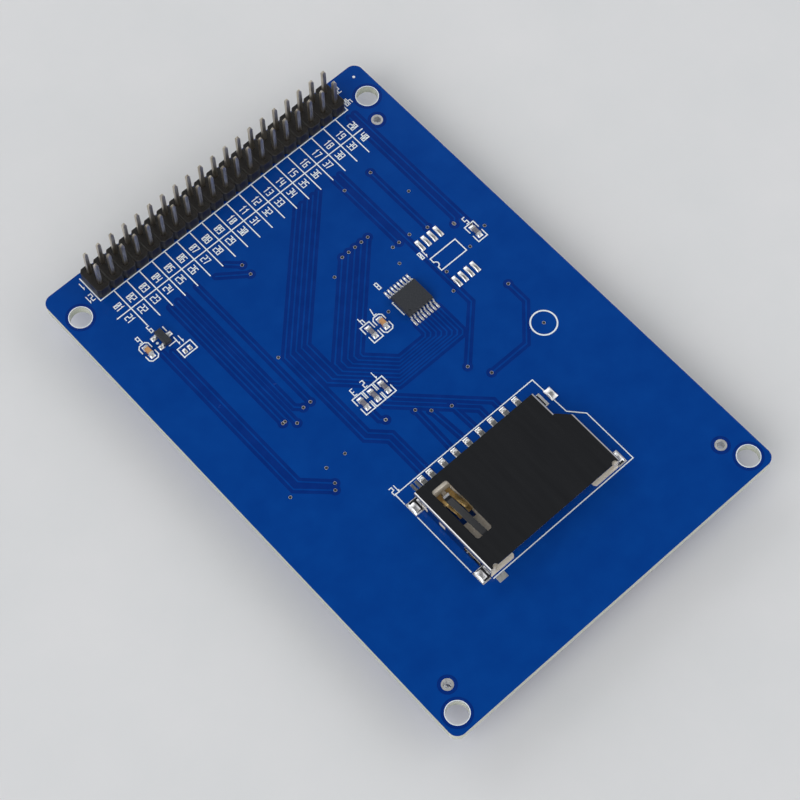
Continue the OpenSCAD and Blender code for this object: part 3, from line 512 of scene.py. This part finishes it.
for route in routes:
    gaps.ribbon(route, GAP_W)
    tracks.ribbon(route, TRACK_W)
print("routes", len(routes))

# %% [markdown]
# ## Vias
# A via is a tiny plated hole that joins the board's two faces. It shows as a thin bright rim with a dark
# middle. No hole is cut: the middle is a flat black disc of painted shade that stands for the dark inside of
# the hole. Where a track ends in one, the copper is cut back round it.

# %% Vias
TEST_POINT = (22.4, -7.6)
VIAS = [(22.7, 23.6), (15.3, 30.5), (24, 14.6), (17.55, 17.75), (14.1, 17.8), (12.95, 15),
        (3.9, 20), (27.3, 11), (23.1, 9.8), (17.4, 9), (15.9, 5.8), (6.05, 9.9), (-11.6, 15.4),
        (-17.9, 6.6), (-14.7, -3.4), (-18.3, -3.3), (-25.4, -3.25), (-6.5, -3.4), TEST_POINT]
ends = [route[-1] for route in routes if abs(route[-1][1] - tails_y) > 0.1]
ends += BUS_VIAS + [(23, 1), (20.5, 30.2), (-2.1, -5.2), (-0.35, -6.9), (2.45, -8.4)]
ends = [p for p in ends if abs(p[1] - LEAD_END_Y) > 0.1]
via_hole_shade_discs, rims = Drawing(PRINT), Drawing(PRINT + HAIR * LEVELS)
for x, y in ends:
    gaps.disc(x, y, 0.85)
# Each via's dark middle is a flat black disc of painted shade for the inside of the hole, inside the tin rim
for x, y in VIAS + ends:
    rims.ring(x, y, 0.25, 0.055, 20)
    via_hole_shade_discs.disc(x, y, 0.21, 16)
print("vias", len(VIAS) + len(ends))

# %% [markdown]
# ## Rings round bolt holes and eyelets
# The copper is cut back round each bolt hole, so no screw can touch it. The bolt pattern is
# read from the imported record, not typed again.

# %% Rings round bolt holes and eyelets
bolts = frame["record"]["mounts"][0]
hole_r = bolts["dims"]["hole_r_mm"]
half_x, half_y = bolts["dims"]["spacing_x_mm"] / 2, bolts["dims"]["spacing_y_mm"] / 2
centre_y = bolts["pos_m"][1] / MM
for sx in (-1, 1):
    for sy in (-1, 1):
        gaps.ring(sx * half_x, centre_y + sy * half_y, hole_r + 0.35, 0.60)
        prints.ring(sx * half_x, centre_y + sy * half_y, hole_r + 0.09, 0.14)
eyelet_low, eyelet_high = [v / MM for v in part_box("plated_eyelets")]
EYELET_R = 0.95
eyelet_left, eyelet_right = eyelet_low.x + EYELET_R, eyelet_high.x - EYELET_R
eyelet_front, eyelet_back = eyelet_low.y + EYELET_R, eyelet_high.y - EYELET_R
for x, y in ((eyelet_left, eyelet_front), (eyelet_right, eyelet_front), (eyelet_right, eyelet_back)):
    gaps.ring(x, y, 1.22, 0.6)
print("rings round the bolt holes, radius", hole_r, "mm, and 3 eyelets")

# %% [markdown]
# ## White print
# The print is ink a few hundredths of a millimetre thick. Lines frame the parts, and plain
# numbers stand where a board has its labels. The digits are drawn as strokes, like a plotter's.

# %% Stroke digits
STROKES = {
    "0": [[(0, 0), (0, 4), (2, 4), (2, 0), (0, 0)], [(0.3, 0.5), (1.7, 3.5)]],
    "1": [[(0.3, 3.2), (1, 4), (1, 0)]],
    "2": [[(0, 4), (2, 4), (2, 2.1), (0, 1.9), (0, 0), (2, 0)]],
    "3": [[(0, 4), (2, 4), (2, 0), (0, 0)], [(0.5, 2), (2, 2)]],
    "4": [[(0, 4), (0, 1.8), (2, 1.8)], [(2, 4), (2, 0)]],
    "5": [[(2, 4), (0, 4), (0, 2.2), (2, 2.2), (2, 0), (0, 0)]],
    "6": [[(2, 4), (0, 4), (0, 0), (2, 0), (2, 2.1), (0, 2.1)]], "7": [[(0, 4), (2, 4), (0.8, 0)]],
    "8": [[(0, 0), (0, 4), (2, 4), (2, 0), (0, 0)], [(0, 2.05), (2, 2.05)]],
    "9": [[(2, 2), (0, 2), (0, 4), (2, 4), (2, 0), (0, 0)]],
}


LINE_W, DIGIT_W = 0.2, 0.17
DIGIT_H, DIGIT_STEP = 1.2, 0.70
LEFTWARD, FORWARD = (-1, 0), (0, -1)


def number(text, x, y, along):
    """Prints a number from (x, y) on, in the direction `along`."""
    u, unit = Vector(along), DIGIT_H / 4
    v = Vector((-u.y, u.x))
    for place, digit in enumerate(text):
        start = Vector((x, y)) + u * place * DIGIT_STEP
        for stroke in STROKES[digit]:
            prints.ribbon([start + u * px * unit * 0.75 + v * py * unit for px, py in stroke], DIGIT_W)


print("digits known:", len(STROKES))

# %% [markdown]
# ## Header labels
# Each pin of the header has a number beside it, in a cell of a printed grid. The grid's pitch
# is measured on the pins themselves, so the labels can't drift away from them.

# %% Header labels
pins_low, pins_high = [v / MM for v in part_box("header_pins_back")]
body_low, body_high = [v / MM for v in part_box("header_insulator")]
PITCH = (pins_high.x - pins_low.x - 0.64) / 19
first_x = pins_low.x + 0.32
LINE_Y, DIVIDE_Y = body_low.y - 0.08, 37.1
left_x, right_x = body_low.x - 0.1, body_high.x + 0.1
prints.ribbon([(left_x, body_high.y), (left_x, LINE_Y), (right_x, LINE_Y), (right_x, body_high.y)], LINE_W)
prints.ribbon([(body_low.x - 0.2, DIVIDE_Y), (body_high.x - 0.5, DIVIDE_Y)], LINE_W)
for i in range(19):
    between = first_x + (i + 0.5) * PITCH
    prints.ribbon([(between, LINE_Y), (between, LABELS_Y)], LINE_W)
for i in range(20):
    x = first_x + i * PITCH - 0.6
    number("%02d" % (i + 1), x, DIVIDE_Y + 2.0, FORWARD)
    number("%02d" % (i + 21), x, DIVIDE_Y - 0.7, FORWARD)
number("1", body_low.x - 0.5, 45.8, LEFTWARD)
number("21", body_low.x - 0.5, 43.3, LEFTWARD)
number("20", body_high.x + 1.7, 45.8, LEFTWARD)
number("40", body_high.x + 1.7, 43.1, LEFTWARD)
print("header pitch", round(PITCH, 3), "mm")

# %% [markdown]
# ## Brackets round the small parts
# A printed bracket shows where each small part goes and which way round. Every bracket is
# placed from the middle of its own part.


# %% Brackets round the small parts
def bracket(x, y, w, l, gap, slant=0.0):
    """Two halves of a frame, open at the middle of the long sides."""
    for side in (-1, 1):
        end_y = y + side * l / 2
        if slant:
            corners = [(x - w / 2, end_y - side * slant), (x - w / 2 + slant, end_y),
                       (x + w / 2 - slant, end_y), (x + w / 2, end_y - side * slant)]
        else:
            corners = [(x - w / 2, end_y), (x + w / 2, end_y)]
        prints.ribbon([(x - w / 2, y + side * gap), *corners, (x + w / 2, y + side * gap)], LINE_W)


BRACKET_W, BRACKET_L, BRACKET_GAP = 1.82, 3.3, 0.38
RESISTORS = ["resistor_%d" % i for i in range(1, 6)]
CAPACITORS = ["capacitor_%d" % i for i in range(1, 3)]
for i, name in enumerate(RESISTORS + CAPACITORS):
    x, y, _ = middle(name)
    bracket(x, y, BRACKET_W, BRACKET_L, BRACKET_GAP, 0.4 if name in CAPACITORS else 0.0)
    number(str(i + 1), x + 0.3, y + 3.1, LEFTWARD)
prints.ribbon([(chip.x - 2.2, chip.y + 1.6), (chip.x - 2.6, chip.y + 1.6), (chip.x - 2.6, chip.y - 1.1)],
              LINE_W)
number("8", chip.x - 2.1, chip.y + 5.9, LEFTWARD)
reg = middle("regulator_package")
prints.ribbon([(reg.x + 1.2, reg.y + 0.7), (reg.x + 1.2, reg.y + 1.6)], LINE_W)
prints.ribbon([(reg.x - 0.1, reg.y - 1.6), (reg.x + 1.3, reg.y - 1.6), (reg.x + 1.3, reg.y - 0.9)], LINE_W)
prints.disc(reg.x - 1.2, reg.y, 0.22)
number("9", reg.x - 0.3, reg.y + 3.2, LEFTWARD)
print("bracketed parts:", len(RESISTORS + CAPACITORS))

# %% [markdown]
# ## Outlines of the larger places
# The spare chip, the jumper, the test point and the card socket each have an outline. A half
# round notch marks the end of the spare chip that its first lead is on.

# %% Spare chip, jumper and test point
SPARE_LEFT, SPARE_RIGHT, SPARE_LOW, SPARE_HIGH = 17, 22.25, 9.7, 12.35
NOTCH_Y, NOTCH_R = 11, 0.5
prints.ribbon([(SPARE_LEFT, NOTCH_Y + NOTCH_R), (SPARE_LEFT, SPARE_HIGH), (SPARE_RIGHT, SPARE_HIGH),
               (SPARE_RIGHT, SPARE_LOW), (SPARE_LEFT, SPARE_LOW), (SPARE_LEFT, NOTCH_Y - NOTCH_R)], LINE_W)
notch = [a * math.pi / 8 for a in range(9)]
prints.ribbon([(SPARE_LEFT + NOTCH_R * math.sin(a), NOTCH_Y + NOTCH_R * math.cos(a)) for a in notch], LINE_W)
number("10", 17.2, 14.3, LEFTWARD)
prints.ribbon([(-22.15, 25.1), (-19.6, 25.1), (-19.6, 26.85), (-22.15, 26.85), (-22.15, 25.0)], LINE_W)
number("11", -20.3, 28.6, LEFTWARD)
prints.ring(*TEST_POINT, 2.1, 0.25)
prints.disc(30.4, 45.3, 0.22)
print("spare chip outline", SPARE_RIGHT - SPARE_LEFT, "mm wide")

# %% Card socket
OUTLINE_LEFT, OUTLINE_STEP, OUTLINE_RIGHT = -13.6, 14.2, 16.65
OUTLINE_BACK, OUTLINE_FRONT, OUTLINE_W = -13.45, -32.95, 0.18
prints.ribbon([(OUTLINE_LEFT, -15.5), (OUTLINE_LEFT, OUTLINE_BACK), (14.4, OUTLINE_BACK), (14.6, -20.7),
               (OUTLINE_RIGHT, -23.0), (OUTLINE_RIGHT, OUTLINE_FRONT), (OUTLINE_STEP, OUTLINE_FRONT)],
              OUTLINE_W)
prints.ribbon([(OUTLINE_LEFT, -18.4), (OUTLINE_LEFT, -30)], OUTLINE_W)
prints.ribbon([(-11.8, OUTLINE_FRONT), (OUTLINE_STEP, OUTLINE_FRONT)], OUTLINE_W)
number("12", -12.6, -12.2, LEFTWARD)
print("print drawn")

# %% [markdown]
# ## From drawings to pieces
# Each drawing becomes one mesh piece, because its shapes share one finish and never move
# apart. A piece a shape would work too, but would fill the scene with hundreds of names.

# %% Make the flat pieces
gaps.piece("track_gaps", bare_mask, "solder_mask_board")
tracks.piece("mask_over_copper_tracks", track_mask, "solder_mask_board")
# The via middles are flat black discs of painted shade, standing in for the dark inside of the holes
via_hole_shade_discs.piece("via_painted_shade_discs", black_tape)
rims.piece("via_rims", tin, "tinned_copper")
prints.piece("white_print_lines", white_print)


# %% [markdown]
# ## Solder
# Solder wets a land and climbs the metal that stands on it, so each joint is a low smooth
# mound. A mound is a small grid whose height falls off to its edge, pushed up by a smooth rule.


# %% Solder mounds
LAND_T = 0.05


def mound(mesh, x, y, w, l, height, lean=0.0, n=8):
    """A smooth mound on a land; lean moves its crest along y, from -1 to 1."""
    rows = []
    for i in range(n + 1):
        for j in range(n + 1):
            a, b = 2 * i / n - 1, 2 * j / n - 1
            drop = max(0.0, (1 - a ** 4) * (1 - b ** 4)) ** 0.5
            rise = height * drop * (1 - 0.45 * abs(b - lean))
            rows.append(mesh.verts.new(((x + a * w / 2) * MM, (y + b * l / 2) * MM,
                                        TOP + (LAND_T + rise) * MM)))
    for i in range(n):
        for j in range(n):
            k = i * (n + 1) + j
            face = mesh.faces.new([rows[k], rows[k + n + 1], rows[k + n + 2], rows[k + 1]])
            face.smooth = True


def solder_piece(name, spots):
    mesh = bmesh.new()
    for spot in spots:
        mound(mesh, *spot)
    data = bpy.data.meshes.new(name)
    mesh.to_mesh(data)
    mesh.free()
    data.materials.append(solder)
    obj = bpy.data.objects.new(name, data)
    bpy.context.scene.collection.objects.link(obj)
    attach(obj, "root")
    return obj


print("solder helpers ready")

# %% [markdown]
# ## The joints
# Every joint is placed from the part that it holds. On the small parts and the chip the crest
# leans towards the metal that the solder climbs, and so it does on the socket's tails.
# Everywhere else it stays in the middle.

# %% Joints of the small parts and the chips
spots = []
for name in RESISTORS + CAPACITORS:
    x, y, _ = middle(name)
    for side in (-1, 1):
        spots.append((x, y + side * 0.95, 0.86, 0.62, 0.30, -side * 0.8))
solder_piece("chip_part_joints", spots)
solder_piece("touch_controller_joints",
             [(chip.x + (k - 3.5) * LEAD, chip.y + side * 3.1, 0.33, 1.0, 0.16, -side * 0.6)
              for k in range(8) for side in (-1, 1)])
solder_piece("regulator_joints",
             [(x, y, 0.8, 0.72, 0.2) for x, y in ((reg.x - 1.2, reg.y - 0.95), (reg.x - 1.2, reg.y + 0.95),
                                                  (reg.x + 1.2, reg.y))])

# %% Joints of the bare lands and the socket
SPARE_X, SPARE_Y, SPARE_PITCH = 19.35, 10.9, 1.27
JUMPER_X, JUMPER_Y = -20.95, 25.85
solder_piece("spare_land_domes",
             [(SPARE_X + (k - 1.5) * SPARE_PITCH, SPARE_Y + side * 4.25, 0.72, 2.05, 0.26)
              for k in range(4) for side in (-1, 1)])
solder_piece("jumper_domes", [(JUMPER_X + side * 0.475, JUMPER_Y, 0.6, 0.85, 0.12) for side in (-1, 1)])
solder_piece("socket_foot_joints",
             [(x, y, 1.3, 2.0, 0.42) for x in (socket_low.x + 0.3, socket_high.x - 0.3)
              for y in (socket_high.y - 1.1, socket_low.y + 1.1)])
solder_piece("socket_tail_joints",
             [(middle("card_contact_%d" % k).x, socket_high.y + 1.75, 0.95, 0.9, 0.24, -0.5)
              for k in range(1, 10)])

# %% [markdown]
# ## Floor and light
# The module lies on a plain pale floor. Three large lamps stand metres away, so the floor is
# lit as evenly as the module, and none is bright enough to burn out in the polished socket.
# The sky is pale all round and dark straight overhead, as under a studio's high ceiling: flat
# polished metal mirrors the dark part, and every edge and solder slope catches the pale one.

# %% Floor
bpy.ops.mesh.primitive_plane_add(size=40, location=(0, 0, cad_low.z - 0.00002))
floor = bpy.context.object
floor.name = "pale_floor"
floor.data.materials.append(weather(finish("pale_paper", (0.8, 0.8, 0.8)), 40,
                                    (0.76, 0.77, 0.78), (0.80, 0.80, 0.81), (0.75, 0.85), 0.02)[0])
print("floor laid at", round(cad_low.z / MM, 2), "mm")


# %% Lamps
def lamp(name, place, size, watts):
    data = bpy.data.lights.new(name, "AREA")
    data.shape = "DISK"
    data.size, data.energy = size, watts
    obj = bpy.data.objects.new(name, data)
    bpy.context.scene.collection.objects.link(obj)
    obj.location = place
    obj.rotation_euler = (-Vector(place)).to_track_quat("-Z", "Y").to_euler()
    return obj


lamp("broad_left_lamp", (-3.0, -0.55, 2.75), 4.4, 84)
lamp("right_fill_lamp", (3.2, -1.9, 2.4), 4.0, 30)
lamp("far_rim_lamp", (0.3, 3.9, 1.7), 3.2, 34)
print("lamps placed:", len(bpy.data.lights))

# %% Sky
world = bpy.data.worlds.new("studio_sky")
bpy.context.scene.world = world
world.use_nodes = True
sky = world.node_tree
direction = sky.nodes.new("ShaderNodeTexCoord")
split = sky.nodes.new("ShaderNodeSeparateXYZ")
ramp = sky.nodes.new("ShaderNodeValToRGB")
ramp.color_ramp.elements[0].position = 0.62
ramp.color_ramp.elements[0].color = (0.78, 0.79, 0.80, 1)
ramp.color_ramp.elements[1].position = 0.84
ramp.color_ramp.elements[1].color = (0.035, 0.037, 0.040, 1)
sky.links.new(direction.outputs["Generated"], split.inputs["Vector"])
sky.links.new(split.outputs["Z"], ramp.inputs["Fac"])
sky.links.new(ramp.outputs["Color"], sky.nodes["Background"].inputs["Color"])
sky.nodes["Background"].inputs["Strength"].default_value = 1.0
bpy.context.scene.view_settings.view_transform = "Standard"
print("sky made, and colours shown as they are")
